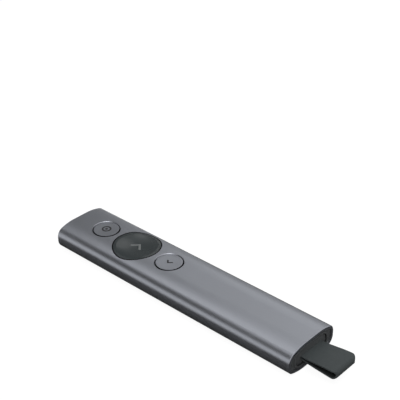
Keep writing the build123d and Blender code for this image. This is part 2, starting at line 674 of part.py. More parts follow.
def receiver_usb_shell():
    """Folded steel plug, open at the tip, with the two pairs of latch windows of a type A plug."""
    root = RECEIVER_START + NOSE_THICKNESS
    shell = bar(PLUG_WIDTH, PLUG_HEIGHT, 2 * PLUG_SHEET, PLUG_TIP, root)
    shell -= bar(PLUG_WIDTH - 2 * PLUG_SHEET, PLUG_HEIGHT - 2 * PLUG_SHEET, PLUG_SHEET, PLUG_TIP, root)
    near = RECEIVER_START - PLUG_WINDOW_SETBACK - PLUG_WINDOW
    for side in (-1, 1):
        middle = side * PLUG_WINDOW_SPACING / 2
        low_y, high_y = middle - PLUG_WINDOW / 2, middle + PLUG_WINDOW / 2
        shell -= block(near, near + PLUG_WINDOW, low_y, high_y, 0, BODY_HEIGHT)
    return shell


def receiver_usb_tongue():
    """Insulator in the lower half of the plug, reaching back to the receiver's board."""
    floor = MID_LEVEL - PLUG_HEIGHT / 2 + PLUG_SHEET
    low, high = floor + BOND_GAP, floor + PLUG_TONGUE_THICKNESS
    half = PLUG_WIDTH / 2 - 2 * PLUG_SHEET
    return block(PLUG_TIP + BAY_GAP, RECEIVER_BOARD_START, -half, half, low, high)


def receiver_contacts():
    top = MID_LEVEL - PLUG_HEIGHT / 2 + PLUG_SHEET + PLUG_TONGUE_THICKNESS
    start = PLUG_TIP + CONTACT_SETBACK
    contacts = []
    for place in range(CONTACTS):
        middle = (place - (CONTACTS - 1) / 2) * CONTACT_PITCH
        low_y, high_y = middle - CONTACT_WIDTH / 2, middle + CONTACT_WIDTH / 2
        contacts.append(block(start, start + CONTACT_LENGTH, low_y, high_y, top, top + CONTACT_SHEET))
    return Compound(contacts)


def receiver_board():
    half = RECEIVER_WIDTH / 2 - RECEIVER_CORNER
    low = RECEIVER_BOARD_TOP - BOARD_THICKNESS
    return block(RECEIVER_BOARD_START, RECEIVER_BOARD_END, -half, half, low, RECEIVER_BOARD_TOP)


def receiver_chip():
    middle = (RECEIVER_BOARD_START + RECEIVER_BOARD_END) / 2
    top = RECEIVER_BOARD_TOP + CHIP_THICKNESS
    return chip(middle, 0, RECEIVER_CHIP_SIDE, RECEIVER_CHIP_SIDE, RECEIVER_BOARD_TOP, top)


def strap_outline(start, half_start, inset):
    """Teardrop seen from the side, round at the fold: `inset` inside the strap's own, from a blunt start."""
    top, low = STRAP_TOP_RISE - inset, inset - STRAP_BOTTOM_DROP
    bend_x = STRAP_TIP - (STRAP_TOP_RISE + STRAP_BOTTOM_DROP) / 2
    upper = Spline((start, half_start), (bend_x, top), tangents=((1, 0), (1, 0)))
    bend = ThreePointArc((bend_x, top), (STRAP_TIP - inset, (top + low) / 2), (bend_x, low))
    lower = Spline((bend_x, low), (start, -half_start), tangents=((-1, 0), (-1, 0)))
    back = Line((start, -half_start), (start, half_start))
    return make_face([upper, bend, lower, back])


def receiver_strap():
    """Pull loop of flat elastomer, folded at its free end: from above it widens to a round-cornered end."""
    side = Plane(origin=(0, STRAP_END_WIDTH, MID_LEVEL), x_dir=(1, 0, 0), z_dir=(0, -1, 0))
    profile = strap_outline(STRAP_ROOT, STRAP_ROOT_HEIGHT / 2, 0)
    profile -= strap_outline(STRAP_ROOT + STRAP_JOINED, STRAP_PARTING / 2, STRAP_BAND)
    band = extrude(side * profile, amount=2 * STRAP_END_WIDTH)
    corners = [(STRAP_ROOT, STRAP_ROOT_WIDTH / 2), (STRAP_TIP, STRAP_END_WIDTH / 2)]
    corners += [(x, -y) for x, y in reversed(corners)]
    plan = make_face(Polyline(*corners, close=True))
    plan = fillet(plan.vertices().group_by(Axis.X)[-1], STRAP_CORNER)
    band &= extrude(plan, amount=BODY_HEIGHT)
    half = STRAP_ROOT_WIDTH / 2
    return band + level_block(RECEIVER_END - STRAP_ANCHOR, RECEIVER_END, -half, half, STRAP_ROOT_HEIGHT)


# ---- every sub-part, one STEP file each ----

PARTS = {
    "housing_sleeve": housing_sleeve,
    "head_cap": head_cap,
    "tail_bezel": tail_bezel,
    "back_plate": back_plate,
    "back_pad": back_pad,
    "plate_screws": plate_screws,
    "inner_frame": inner_frame,
    "main_board": main_board,
    "processor_chip": processor_chip,
    "motion_sensor": motion_sensor,
    "radio_shield": radio_shield,
    "chip_antenna": chip_antenna,
    "battery_cell": battery_cell,
    "battery_adhesive": battery_adhesive,
    "battery_tabs": battery_tabs,
    "motor_case": motor_case,
    "motor_cover": motor_cover,
    "motor_shaft": motor_shaft,
    "motor_rotor": motor_rotor,
    "usb_c_shell": usb_c_shell,
    "usb_c_tongue": usb_c_tongue,
    "receiver_dock": receiver_dock,
    "dock_springs": dock_springs,
    "receiver_body": receiver_body,
    "receiver_nose": receiver_nose,
    "receiver_usb_shell": receiver_usb_shell,
    "receiver_usb_tongue": receiver_usb_tongue,
    "receiver_contacts": receiver_contacts,
    "receiver_board": receiver_board,
    "receiver_chip": receiver_chip,
    "receiver_strap": receiver_strap,
}

SWITCH_PARTS = {
    "switch_base": switch_base,
    "switch_cover": switch_cover,
    "switch_dome": switch_dome,
    "switch_stem": switch_stem,
}

os.makedirs("parts", exist_ok=True)
for part_name, make in PARTS.items():
    export_step(make(), f"parts/{part_name}.step")
for button_name, (button_station, *_) in BUTTONS.items():
    export_step(button(button_name), f"parts/{button_name}_button.step")
    for part_name, make in SWITCH_PARTS.items():
        export_step(make(button_station), f"parts/{button_name}_{part_name}.step")
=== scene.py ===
import json
import math

import bpy
import numpy as np
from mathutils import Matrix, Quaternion, Vector


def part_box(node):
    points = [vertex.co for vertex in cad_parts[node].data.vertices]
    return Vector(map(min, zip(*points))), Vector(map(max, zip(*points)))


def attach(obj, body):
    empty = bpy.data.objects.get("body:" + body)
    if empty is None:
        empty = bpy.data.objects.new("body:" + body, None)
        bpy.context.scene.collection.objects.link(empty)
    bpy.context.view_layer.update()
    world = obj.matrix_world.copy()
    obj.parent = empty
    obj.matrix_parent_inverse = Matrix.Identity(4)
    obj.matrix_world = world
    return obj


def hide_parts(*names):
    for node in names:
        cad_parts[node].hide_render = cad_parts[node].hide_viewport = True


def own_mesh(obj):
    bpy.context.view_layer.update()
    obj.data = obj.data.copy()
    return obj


# A slim presentation remote lying on a white table, with its receiver stowed in the tail.
# Metres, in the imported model's frame: +X runs to the tail, +Z up through the buttons, and the
# origin is the middle of the flat underside. The sizes that follow are in millimetres.

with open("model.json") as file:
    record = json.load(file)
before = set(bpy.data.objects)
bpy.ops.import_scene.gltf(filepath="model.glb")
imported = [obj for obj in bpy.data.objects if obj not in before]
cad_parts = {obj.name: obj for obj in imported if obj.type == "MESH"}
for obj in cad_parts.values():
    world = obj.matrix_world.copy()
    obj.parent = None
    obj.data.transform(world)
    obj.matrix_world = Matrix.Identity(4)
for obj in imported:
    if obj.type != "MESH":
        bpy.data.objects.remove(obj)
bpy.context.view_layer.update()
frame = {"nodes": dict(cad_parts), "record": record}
MM = 0.001
MICROMETRE = 0.000001

# ---- sizes of the part, named as in its source ----

BODY_LENGTH = 131.3
BODY_WIDTH = 28.1
BODY_HEIGHT = 12.1
MID_LEVEL = BODY_HEIGHT / 2
CROWN_FLAT = 4.0
CROWN_RADIUS = 22.0

POINTER_STATION = 17.5
BUTTON_PITCH = 19.4
NEXT_STATION = POINTER_STATION + BUTTON_PITCH
BACK_STATION = NEXT_STATION + BUTTON_PITCH
POINTER_OPENING = 12.4
NEXT_OPENING = 21.7
BACK_OPENING = 12.5
BUTTON_GAP = 0.38
BUTTON_DROP = 0.05  # under the body's crown
BOWL_STEP = 0.05  # height of the dish's edge under the rim
POINTER_DISH = (5.12, 0.15)  # radius and depth
NEXT_DISH = (9.22, 0.7)
BACK_DISH = (5.17, 0.15)

RECEIVER_WIDTH = 18.8
RECEIVER_HEIGHT = 6.2
RECEIVER_CORNER = 2.9
BAY_GAP = 0.2

MOTOR_STATION = 68.9

DOME_RADIUS = 1.55
DOME_CROWN_RADIUS = 0.6
DOME_SHEET = 0.1

# ---- sizes of the pieces that are made here ----

PAD_MIDDLE = 41.0  # from the body's head end
PAD_LENGTH = 76.2
PAD_WIDTH = 22.1
PAD_CORNER = 3.6
PAD_THICKNESS = 0.65
PAD_EDGE = 0.28  # radius of the edge round its outer face

STRAP_ROOT = 65.35  # receiver's end face, from the middle of the body
STRAP_REACH = 16.65
STRAP_ROOT_WIDTH = 12.8
STRAP_END_WIDTH = 14.0
STRAP_CORNER = 2.7
STRAP_BAND = 0.8
STRAP_TOP_RISE = 2.0  # of the fold, above mid height
STRAP_BOTTOM_DROP = 1.8
STRAP_ROOT_HEIGHT = 1.4
STRAP_JOINED = 0.5  # length over which the two limbs are one
STRAP_PARTING = 0.2  # height of the hollow where they part
STRAP_ANCHOR = 1.95  # length inside the receiver
STRAP_EDGE = 0.22  # radius of the band's edges
STRAP_PINCH = STRAP_ROOT + 11.0  # where finger and thumb hold it

DOME_CROWN_RINGS = (0.1, 0.35)  # radii of the rings on a snap dome's level crown

MARK_PROUD = 0.02  # a mark's face over the dish that it lies in
MARK_DEPTH = 0.08
POINTER_MARK = (-0.25, 0.26)  # middle of the pointer key's ring and dot, from the button's
RING_RADII = (1.4, 1.8, 2.2)
DOT_RADII = (0.12, 0.4, 0.68)
NEXT_TIP = (0.0, 1.55)  # point of each arrow, from its button's middle
BACK_TIP = (-0.2, -0.62)
NEXT_ARROW = (2.75, 1.0)  # reach of each arm along the body, and the stroke
BACK_ARROW = (1.48, 0.75)

# ---- painted shade where little light comes ----

EDGE_SHADE = 0.1  # how far the painted shade of a gap reaches on to the edges beside it, in millimetres
FOLD_SHADE = 0.9  # painted shade on the strap's outer face once the fold has turned it down; its inner face has 1

# ---- how finely the new surfaces are divided ----

CIRCLE_POINTS = 48
LIMB_STEPS = 70  # along each limb of the strap
FOLD_STEPS = 28
BAND_CORNER_POINTS = 6
PAD_CORNER_POINTS = 9
PAD_SIDE_POINTS = (40, 16, 40, 16)
PAD_FACE_RINGS = 17
PAD_EDGE_RINGS = 7
PAD_BACK_RINGS = 12
PAD_FIRST_RING = 0.04  # share of the pad's plan, also of the last ring
PAD_FACE_LAST_RING = 0.97
DOME_SIDE_RINGS = 14
ARROW_ROWS = 25
STROKE_POINTS = 5


# ---- nodes that every paint, finish and pattern is wired from ----


def cleared(owner):
    """The node tree of a new material or world, emptied."""
    owner.use_nodes = True
    owner.node_tree.nodes.clear()
    return owner.node_tree


def feed(tree, value, socket):
    """Links a socket's source, or sets its value where that is a plain number or vector."""
    if isinstance(value, bpy.types.NodeSocket):
        tree.links.new(value, socket)
    else:
        socket.default_value = value


def worked(tree, operation, first, second=0.0):
    """Number that a Math node's operation gives for one or two numbers."""
    node = tree.nodes.new("ShaderNodeMath")
    node.operation = operation
    feed(tree, first, node.inputs[0])
    feed(tree, second, node.inputs[1])
    return node.outputs[0]


def worked_vector(tree, operation, first, second=(0.0, 0.0, 0.0)):
    """What a Vector Math node's operation gives: a number for DISTANCE and LENGTH, otherwise a vector."""
    node = tree.nodes.new("ShaderNodeVectorMath")
    node.operation = operation
    feed(tree, first, node.inputs[0])
    feed(tree, second, node.inputs[1])
    return node.outputs["Value" if operation in ("DISTANCE", "LENGTH") else "Vector"]


def split(tree, vector):
    """The sockets X, Y and Z of a vector."""
    node = tree.nodes.new("ShaderNodeSeparateXYZ")
    tree.links.new(vector, node.inputs[0])
    return node.outputs


def eased(tree, value, low, high):
    """0 at `low` and beyond it, 1 at `high` and beyond it, smooth between them."""
    node = tree.nodes.new("ShaderNodeMapRange")
    node.interpolation_type = "SMOOTHSTEP"
    feed(tree, value, node.inputs["Value"])
    feed(tree, low, node.inputs["From Min"])
    feed(tree, high, node.inputs["From Max"])
    return node.outputs["Result"]


def glowing(tree, strength):
    """White light of its own, at `strength`."""
    light = tree.nodes.new("ShaderNodeEmission")
    light.inputs["Color"].default_value = (1, 1, 1, 1)
    feed(tree, strength, light.inputs["Strength"])
    return light.outputs[0]


def put_out(tree, kind, shader):
    """Joins a shader to a new output node of the given kind."""
    tree.links.new(shader, tree.nodes.new(kind).inputs[0])


# ---- camera, table and studio ----


def place_camera():
    """A long lens above the tail's near corner that looks up the body to its head end."""
    data = bpy.data.cameras.new("long_lens")
    data.sensor_width = 36.0
    data.lens = 87.58
    data.dof.use_dof = False
    data.clip_start = 0.01
    data.clip_end = 50.0
    camera = bpy.data.objects.new("camera", data)
    back = Vector((0.5822127, -0.6304876, 0.5133359))
    roll = Quaternion((0.0, 0.0, 1.0), math.radians(-0.5557))
    camera.rotation_mode = "QUATERNION"
    camera.rotation_quaternion = back.to_track_quat("Z", "Y") @ roll
    camera.location = (0.230345, -0.240076, 0.245141)
    bpy.context.scene.collection.objects.link(camera)
    bpy.context.scene.camera = camera


def seen_white(tree):
    """1 on the rays that meet the white surroundings: camera, glossy and transmission rays."""
    rays = tree.nodes.new("ShaderNodeLightPath").outputs
    camera_or_glossy = worked(tree, "MAXIMUM", rays["Is Camera Ray"], rays["Is Glossy Ray"])
    return worked(tree, "MAXIMUM", camera_or_glossy, rays["Is Transmission Ray"])


def light_room(level):
    """A room that is white to look at and lights the part evenly at `level`."""
    world = bpy.data.worlds.new("white_room")
    bpy.context.scene.world = world
    tree = cleared(world)
    mix = tree.nodes.new("ShaderNodeMixShader")
    tree.links.new(seen_white(tree), mix.inputs[0])
    for strength, socket in ((level, mix.inputs[1]), (1.0, mix.inputs[2])):
        white = tree.nodes.new("ShaderNodeBackground")
        white.inputs["Color"].default_value = (1, 1, 1, 1)
        white.inputs["Strength"].default_value = strength
        tree.links.new(white.outputs[0], socket)
    put_out(tree, "ShaderNodeOutputWorld", mix.outputs[0])


def stage_sheet(name, corners, material):
    """Flat sheet that belongs to the studio."""
    mesh = bpy.data.meshes.new(name)
    mesh.from_pydata([tuple(corner) for corner in corners], [], [(0, 1, 2, 3)])
    mesh.materials.append(material)
    sheet = bpy.data.objects.new(name, mesh)
    bpy.context.scene.collection.objects.link(sheet)
    return sheet


def level_corners(low_x, high_x, low_y, high_y, z):
    """Corners of a level rectangle, anticlockwise as seen from above."""
    return [(low_x, low_y, z), (high_x, low_y, z), (high_x, high_y, z), (low_x, high_y, z)]


def table_paint(shade, glow):
    """White paint: `shade` of it takes light and shadow, and `glow` is added where it is seen."""
    paint = bpy.data.materials.new("table_paint")
    tree = cleared(paint)
    diffuse = tree.nodes.new("ShaderNodeBsdfDiffuse")
    diffuse.inputs["Color"].default_value = (shade, shade, shade, 1)
    both = tree.nodes.new("ShaderNodeAddShader")
    tree.links.new(diffuse.outputs[0], both.inputs[0])
    tree.links.new(glowing(tree, worked(tree, "MULTIPLY", seen_white(tree), glow)), both.inputs[1])
    put_out(tree, "ShaderNodeOutputMaterial", both.outputs[0])
    return paint


def card_paint(name, radiance):
    """Paint of a card or mat: one even level of white light, low on those that darken the metal."""
    paint = bpy.data.materials.new(name)
    tree = cleared(paint)
    put_out(tree, "ShaderNodeOutputMaterial", glowing(tree, radiance))
    return paint


def hide_sheet(sheet, lights=True):
    """Hides a sheet from the camera. The part mirrors it, and is lit by it too where `lights` is true."""
    sheet.visible_camera = False
    sheet.visible_shadow = False
    sheet.visible_diffuse = lights


def lay_table():
    """The table top, and on it round the part a dark mat that shows only in the metal's flanks."""
    reach = 4.0
    table_level, mat_level = -0.00002, -0.00001  # just under the part, so that no two faces share a plane
    table_corners = level_corners(-reach, reach, -reach, reach, table_level)
    stage_sheet("table", table_corners, table_paint(shade=0.15, glow=0.93))
    head, tail, near, far = 0.014, 0.03, 0.0185, 0.147  # how far the mat reaches past the body
    half_length, half_width = BODY_LENGTH / 2 * MM, BODY_WIDTH / 2 * MM
    mat_corners = level_corners(-half_length - head, half_length + tail,
                                -half_width - near, half_width + far, mat_level)
    hide_sheet(stage_sheet("dark_mat", mat_corners, card_paint("dark_mat", 0.065)), lights=False)


def hang_card(name, azimuth, elevation, distance, half_width, half_height, radiance):
    """Flat studio card that faces the part from a direction in degrees. Its other sizes are in metres."""
    turn, rise = math.radians(azimuth), math.radians(elevation)
    out = Vector((math.cos(turn) * math.cos(rise), math.sin(turn) * math.cos(rise), math.sin(rise)))
    across = Vector((-math.sin(turn), math.cos(turn), 0)) * half_width
    up = out.cross(across.normalized()) * half_height
    middle = out * distance + Vector((0, 0, MID_LEVEL * MM))
    corners = [middle - across - up, middle - across + up, middle + across + up, middle + across - up]
    hide_sheet(stage_sheet(name, corners, card_paint(name, radiance)))


def hang_cards():
    """Softboxes, a reflector and a strip that light the metal, and flags that darken the rest of it."""
    # direction round and up, distance, half width, half height, radiance
    hang_card("top_softbox", 173.56, 63.83, 0.531, 0.032, 0.149, 2.6)
    hang_card("tail_softbox", -47, 59, 0.6, 0.15, 0.15, 3.6)
    hang_card("far_reflector", 114.39, 25.71, 0.582, 0.149, 0.11, 1.151)
    hang_card("dish_strip", 135.3, 37.1, 0.475, 0.018, 0.037, 2.6)
    hang_card("near_flag", -126.54, 39.0, 0.601, 0.287, 0.212, 0.063)
    hang_card("head_flag", 162.95, 34.83, 0.647, 0.383, 0.225, 0.236)
    hang_card("top_flag", -153.49, 69.48, 0.396, 0.042, 0.052, 0.019)
    hang_card("far_flag", 118.81, 14.8, 0.601, 0.452, 0.22, 0.246)


place_camera()
light_room(level=0.75)
lay_table()
hang_cards()


# ---- patterns that several finishes share ----


def new_group(name, inputs, output):
    """Empty node group that reads a Vector and the given inputs, and puts out one number.

    Each input is its label, its kind of socket and its value.
    """
    tree = bpy.data.node_groups.new(name, "ShaderNodeTree")
    tree.interface.new_socket("Vector", in_out="INPUT", socket_type="NodeSocketVector")
    for label, kind, value in inputs:
        tree.interface.new_socket(label, in_out="INPUT", socket_type=kind).default_value = value
    tree.interface.new_socket(output, in_out="OUTPUT", socket_type="NodeSocketFloat")
    return tree, tree.nodes.new("NodeGroupInput").outputs, tree.nodes.new("NodeGroupOutput").inputs[0]


def noise_about_zero(tree, vector, scale, detail, roughness=0.5, distortion=0.0):
    """Noise from about -0.5 to 0.5, so that it makes no surface lighter or darker as a whole."""
    noise = tree.nodes.new("ShaderNodeTexNoise")
    feed(tree, vector, noise.inputs["Vector"])
    feed(tree, scale, noise.inputs["Scale"])
    noise.inputs["Detail"].default_value = detail
    noise.inputs["Roughness"].default_value = roughness
    noise.inputs["Distortion"].default_value = distortion
    return worked(tree, "SUBTRACT", noise.outputs["Fac"], 0.5)


def make_fine_grain():
    """Even grain of one size, about 0: blasted, spark-eroded and etched surfaces."""
    tree, given, result = new_group("fine_grain", [("Size", "NodeSocketFloat", 0.0001)], "Grain")
    scale = worked(tree, "DIVIDE", 1.0, given["Size"])
    tree.links.new(noise_about_zero(tree, given["Vector"], scale, detail=2.0, roughness=0.6), result)
    return tree


def make_handling():
    """Slow clouds about 0, as fingers and wiping leave them on a thing that is held."""
    tree, given, result = new_group("handling", [("Size", "NodeSocketFloat", 0.02)], "Cloud")
    scale = worked(tree, "DIVIDE", 1.0, given["Size"])
    tree.links.new(noise_about_zero(tree, given["Vector"], scale, detail=3.0, distortion=0.4), result)
    return tree


def make_drawn_lines():
    """Lines about 0, from noise whose cells are long one way and thin the other two."""
    inputs = [("Cell", "NodeSocketVector", (0.01, 0.0001, 0.0001))]
    tree, given, result = new_group("drawn_lines", inputs, "Lines")
    cells = worked_vector(tree, "DIVIDE", given["Vector"], given["Cell"])
    tree.links.new(noise_about_zero(tree, cells, scale=1.0, detail=2.0), result)
    return tree


def make_specks():
    """Scattered round specks, 1 inside and 0 outside: one to a cell, in the given share of the cells.

    A speck's size is its radius as a share of the cell.
    """
    inputs = [("Cell", "NodeSocketFloat", 0.001), ("Size", "NodeSocketFloat", 0.1),
              ("Share", "NodeSocketFloat", 0.3)]
    tree, given, result = new_group("specks", inputs, "Speck")
    cells = tree.nodes.new("ShaderNodeTexVoronoi")
    tree.links.new(given["Vector"], cells.inputs["Vector"])
    tree.links.new(worked(tree, "DIVIDE", 1.0, given["Cell"]), cells.inputs["Scale"])
    half_size = worked(tree, "MULTIPLY", given["Size"], 0.5)
    near = eased(tree, cells.outputs["Distance"], given["Size"], half_size)
    chance = tree.nodes.new("ShaderNodeSeparateColor")
    tree.links.new(cells.outputs["Color"], chance.inputs[0])
    chosen = worked(tree, "LESS_THAN", chance.outputs[0], given["Share"])
    tree.links.new(worked(tree, "MULTIPLY", near, chosen), result)
    return tree


def make_rubbed_spot():
    """Patch that a finger polishes: 1 at its centre, easing to 0 at its radius."""
    inputs = [("Centre", "NodeSocketVector", (0.0, 0.0, 0.0)), ("Radius", "NodeSocketFloat", 0.01)]
    tree, given, result = new_group("rubbed_spot", inputs, "Spot")
    away = worked_vector(tree, "DISTANCE", given["Vector"], given["Centre"])
    tree.links.new(eased(tree, away, given["Radius"], 0.0), result)
    return tree


def make_gap_shade():
    """Upright ring of a button's gap, where light hardly reaches, for painted shade: 1 on its two walls and 0
    elsewhere.
    """
    inputs = [("Centre", "NodeSocketVector", (0.0, 0.0, 0.0)), ("Inner", "NodeSocketFloat", 0.006),
              ("Outer", "NodeSocketFloat", 0.0063)]
    tree, given, result = new_group("gap_shade", inputs, "Shade")
    plan = worked_vector(tree, "MULTIPLY", given["Vector"], (1.0, 1.0, 0.0))
    away = worked_vector(tree, "DISTANCE", plan, given["Centre"])
    within = worked(tree, "LESS_THAN", away, given["Outer"])
    beyond = worked(tree, "GREATER_THAN", away, given["Inner"])
    upper = worked(tree, "GREATER_THAN", split(tree, given["Vector"])["Z"], MID_LEVEL * MM)
    tree.links.new(worked(tree, "MULTIPLY", worked(tree, "MULTIPLY", within, beyond), upper), result)
    return tree


def make_mouth_shade():
    """Painted shade in the gap round the stowed receiver, 1 in it and easing to 0 beside it.

    The distance to the receiver's outline is that of a rectangle with round corners: the length of what
    |y| and |z| have past the corners' centres, less the corner's radius.
    """
    tree, given, result = new_group("mouth_shade", [], "Shade")
    from_middle = worked_vector(tree, "SUBTRACT", given["Vector"], (0.0, 0.0, MID_LEVEL * MM))
    across = worked_vector(tree, "MULTIPLY", worked_vector(tree, "ABSOLUTE", from_middle), (0.0, 1.0, 1.0))
    hub = (0.0, (RECEIVER_WIDTH / 2 - RECEIVER_CORNER) * MM, (RECEIVER_HEIGHT / 2 - RECEIVER_CORNER) * MM)
    past = worked_vector(tree, "MAXIMUM", worked_vector(tree, "SUBTRACT", across, hub))
    length = worked_vector(tree, "LENGTH", past)
    away = worked(tree, "ABSOLUTE", worked(tree, "SUBTRACT", length, (RECEIVER_CORNER + BAY_GAP / 2) * MM))
    reach = BAY_GAP / 2 * MM
    tree.links.new(eased(tree, away, reach + 2 * EDGE_SHADE * MM, reach), result)
    return tree


FINE_GRAIN = make_fine_grain()
HANDLING = make_handling()
DRAWN_LINES = make_drawn_lines()
SPECKS = make_specks()
RUBBED_SPOT = make_rubbed_spot()
GAP_SHADE = make_gap_shade()
MOUTH_SHADE = make_mouth_shade()


class Finish:
    """A material in the making: one Principled surface, and patterns laid over it in Object coordinates."""

    def __init__(self, name, **constants):
        self.material = bpy.data.materials.new(name)
        self.tree = cleared(self.material)
        self.surface = self.tree.nodes.new("ShaderNodeBsdfPrincipled")
        for label, value in constants.items():
            self.surface.inputs[label.replace("_", " ")].default_value = value
        self.place = self.tree.nodes.new("ShaderNodeTexCoord").outputs["Object"]
        put_out(self.tree, "ShaderNodeOutputMaterial", self.surface.outputs[0])

    def pattern(self, group, **values):
        """A shared pattern, with values for its inputs."""
        node = self.tree.nodes.new("ShaderNodeGroup")
        node.node_tree = group
        self.tree.links.new(self.place, node.inputs["Vector"])
        for label, value in values.items():
            node.inputs[label].default_value = value
        return node.outputs[0]

    def attribute(self, name):
        """A value that the piece's own mesh carries, 0 where it has none."""
        node = self.tree.nodes.new("ShaderNodeAttribute")
        node.attribute_name = name
        return node.outputs["Fac"]

    def gap_shade(self, station, opening, beyond=0.02):
        """Mask of a button's painted gap shade, with the button's edge and what lies `beyond` the opening's
        wall.
        """
        centre = ((station - BODY_LENGTH / 2) * MM, 0.0, 0.0)
        inner, outer = opening / 2 - BUTTON_GAP - EDGE_SHADE, opening / 2 + beyond
        return self.pattern(GAP_SHADE, Centre=centre, Inner=inner * MM, Outer=outer * MM)

    def sum(self, level, *parts):
        """`level` plus each pattern times its amount."""
        for pattern, amount in parts:
            level = worked(self.tree, "ADD", level, worked(self.tree, "MULTIPLY", pattern, amount))
        return level

    def shade(self, colour, *parts):
        """A colour made lighter or darker by each pattern times its amount."""
        scaled = self.tree.nodes.new("ShaderNodeVectorMath")
        scaled.operation = "SCALE"
        scaled.inputs[0].default_value = colour
        feed(self.tree, self.sum(1.0, *parts), scaled.inputs["Scale"])
        return scaled.outputs[0]

    def mix(self, mask, under, over):
        """Colour `over` where the mask is 1, on `under`."""
        node = self.tree.nodes.new("ShaderNodeMix")
        node.data_type = "RGBA"
        feed(self.tree, mask, node.inputs["Factor"])
        for label, colour in (("A", under), ("B", over)):
            socket = next(s for s in node.inputs if s.name == label and s.type == "RGBA")
            feed(self.tree, colour, socket)
        return next(s for s in node.outputs if s.type == "RGBA")

    def done(self, colour, roughness, height):
        """Wires in the colour, the roughness and the relief, whose height is in micrometres."""
        feed(self.tree, colour, self.surface.inputs["Base Color"])
        feed(self.tree, roughness, self.surface.inputs["Roughness"])
        relief = self.tree.nodes.new("ShaderNodeBump")
        relief.inputs["Distance"].default_value = MICROMETRE
        feed(self.tree, height, relief.inputs["Height"])
        self.tree.links.new(relief.outputs[0], self.surface.inputs["Normal"])
        return self.material


# ---- the finishes, one for each material slot of the record ----
# Their patterns are sized in metres, and the relief's heights are in micrometres.


def anodised_shell():
    """Aluminium, blasted and anodised: even grain, a trace of the extrusion's lines, clouds from the hand."""
    skin = Finish("anodised_shell", Metallic=1.0)
    blast = skin.pattern(FINE_GRAIN, Size=0.00012)
    drawn = skin.pattern(DRAWN_LINES, Cell=(0.02, 0.0003, 0.0003))
    cloud = skin.pattern(HANDLING, Size=0.03)
    rubbed = skin.pattern(SPECKS, Cell=0.004, Size=0.03, Share=0.2)
    # Painted shade: the metal turns near black in the buttons' gaps and on the edges beside them.
    painted_gap_shade = skin.sum(0.0, (skin.gap_shade(POINTER_STATION, POINTER_OPENING), 1.0),
                    (skin.gap_shade(NEXT_STATION, NEXT_OPENING, EDGE_SHADE), 1.0),
                    (skin.gap_shade(BACK_STATION, BACK_OPENING), 1.0))
    bare = skin.shade((0.317, 0.330, 0.363), (blast, 0.06), (drawn, 0.03), (cloud, 0.03), (rubbed, 0.06))
    colour = skin.mix(painted_gap_shade, bare, (0.02, 0.021, 0.023, 1.0))
    roughness = skin.sum(0.37, (cloud, 0.04), (blast, 0.04), (painted_gap_shade, 0.3))
    return skin.done(colour, roughness, skin.sum(0.0, (blast, 1.0), (drawn, 0.4)))


def dark_moulding():
    """Hard moulding from a spark-eroded tool: coarse even grain and small shiny pits."""
    skin = Finish("dark_moulding")
    spark = skin.pattern(FINE_GRAIN, Size=0.00018)
    pits = skin.pattern(SPECKS, Cell=0.0006, Size=0.22, Share=0.5)
    cloud = skin.pattern(HANDLING, Size=0.012)
    # Painted shade: the moulding darkens by 0.7 in the gap round the receiver.
    gap = skin.pattern(MOUTH_SHADE)
    colour = skin.shade((0.073, 0.077, 0.079), (spark, 0.18), (pits, -0.12), (cloud, 0.08), (gap, -0.7))
    roughness = skin.sum(0.46, (cloud, 0.08), (pits, -0.08))
    return skin.done(colour, roughness, skin.sum(0.0, (spark, 5.0), (pits, -3.0)))


def key_moulding():
    """Satin key: finer grain, polished by the thumb in the middle of its dish."""
    skin = Finish("key_moulding")
    spark = skin.pattern(FINE_GRAIN, Size=0.0001)
    cloud = skin.pattern(HANDLING, Size=0.006)
    middle = ((NEXT_STATION - BODY_LENGTH / 2) * MM, 0.0, BODY_HEIGHT * MM)
    thumb = skin.pattern(RUBBED_SPOT, Centre=middle, Radius=0.009)
    dust = skin.pattern(SPECKS, Cell=0.0015, Size=0.04, Share=0.3)
    # Painted shade: the key turns near black in its gap and on its edge.
    gap = skin.gap_shade(NEXT_STATION, NEXT_OPENING)
    top = skin.shade((0.025, 0.033, 0.035), (spark, 0.10), (cloud, 0.08), (dust, 0.5))
    colour = skin.mix(gap, top, (0.008, 0.008, 0.009, 1.0))
    roughness = skin.sum(0.26, (thumb, -0.03), (cloud, 0.06), (gap, 0.5))
    return skin.done(colour, roughness, skin.sum(0.0, (spark, 1.0)))


def soft_pad():
    """Soft-touch rubber: stippled, a little dusty, with a sheen, and darker and smoother where the palm rubs
    it in the middle.
    """
    skin = Finish("soft_pad", Sheen_Weight=0.08, Sheen_Roughness=0.5)
    stipple = skin.pattern(FINE_GRAIN, Size=0.00022)
    cloud = skin.pattern(HANDLING, Size=0.015)
    palm = skin.pattern(RUBBED_SPOT, Centre=((PAD_MIDDLE - BODY_LENGTH / 2) * MM, 0.0, 0.0), Radius=0.03)
    dust = skin.pattern(SPECKS, Cell=0.002, Size=0.035, Share=0.4)
    colour = skin.shade((0.036, 0.040, 0.041), (stipple, 0.16), (cloud, 0.10), (palm, -0.06), (dust, 0.7))
    roughness = skin.sum(0.6, (cloud, 0.08), (palm, -0.08))
    return skin.done(colour, roughness, skin.sum(0.0, (stipple, 6.0), (dust, 4.0)))


